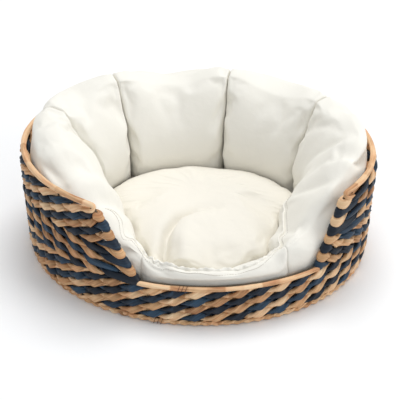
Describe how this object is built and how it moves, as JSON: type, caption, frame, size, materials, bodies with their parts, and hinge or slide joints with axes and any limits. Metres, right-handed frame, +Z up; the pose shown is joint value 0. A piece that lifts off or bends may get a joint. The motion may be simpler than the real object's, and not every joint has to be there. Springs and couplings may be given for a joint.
{
  "type": "wicker pet bed basket",
  "caption": "Oval twined wicker pet bed with a low front cut-out, a wire frame, a removable padded bolster ring and a loose seat pad.",
  "frame": {"origin": "middle of the flat underside of the basket, on the surface it stands on", "axes": "+X along the long axis to the right, +Y towards the high back, +Z up; the low front faces -Y"},
  "size_m": [0.5504, 0.4526, 0.2143],
  "materials": {
    "navy_fibre": "dyed plant fibre, satin with a faint sheen",
    "natural_fibre": "dried plant fibre, matt to satin",
    "binding_fibre": "dried plant fibre, wrapped, matt to satin",
    "frame_wire": "dark lacquered steel wire",
    "cotton_cover": "plain woven cotton, matt",
    "fibre_filling": "polyester fibre filling, matt"
  },
  "bodies": {
    "basket": {"base_mat": "natural_fibre", "foot_border": "binding_fibre", "front_rim_binding": "binding_fibre", "high_rim_binding": "binding_fibre", "row_01_natural_strand": "natural_fibre", "row_01_navy_strand": "navy_fibre", "row_02_natural_strand": "natural_fibre", "row_02_navy_strand": "navy_fibre", "row_03_natural_strand": "natural_fibre", "row_03_navy_strand": "navy_fibre", "row_04_natural_strand": "natural_fibre", "row_04_navy_strand": "navy_fibre", "row_05_natural_strand": "natural_fibre", "row_05_navy_strand": "navy_fibre", "row_06_natural_strand": "natural_fibre", "row_06_navy_strand": "navy_fibre", "row_07_natural_strand": "natural_fibre", "row_07_navy_strand": "navy_fibre", "row_08_natural_strand": "natural_fibre", "row_08_navy_strand": "navy_fibre", "row_09_natural_strand": "natural_fibre", "row_09_navy_strand": "navy_fibre", "row_10_natural_strand": "natural_fibre", "row_10_navy_strand": "navy_fibre", "row_11_natural_strand": "natural_fibre", "row_11_navy_strand": "navy_fibre", "row_12_natural_strand": "natural_fibre", "row_12_navy_strand": "navy_fibre", "wire_frame": "frame_wire"},
    "bolster": {"bolster_back_cover": "cotton_cover", "bolster_back_filling": "fibre_filling", "bolster_front_cover": "cotton_cover", "bolster_front_filling": "fibre_filling", "bolster_left_back_cover": "cotton_cover", "bolster_left_back_filling": "fibre_filling", "bolster_left_front_cover": "cotton_cover", "bolster_left_front_filling": "fibre_filling", "bolster_right_back_cover": "cotton_cover", "bolster_right_back_filling": "fibre_filling", "bolster_right_front_cover": "cotton_cover", "bolster_right_front_filling": "fibre_filling"},
    "seat_pad": {"seat_pad_bottom_panel": "cotton_cover", "seat_pad_filling": "fibre_filling", "seat_pad_top_panel": "cotton_cover"}
  },
  "joints": [
    {"name": "bolster_lift", "type": "slide", "parent": "basket", "child": "bolster", "axis": [0, 0, 1], "range_m": [0, 0.25]},
    {"name": "seat_pad_lift", "type": "slide", "parent": "bolster", "child": "seat_pad", "axis": [0, 0, 1], "range_m": [0, 0.25]}
  ]
}
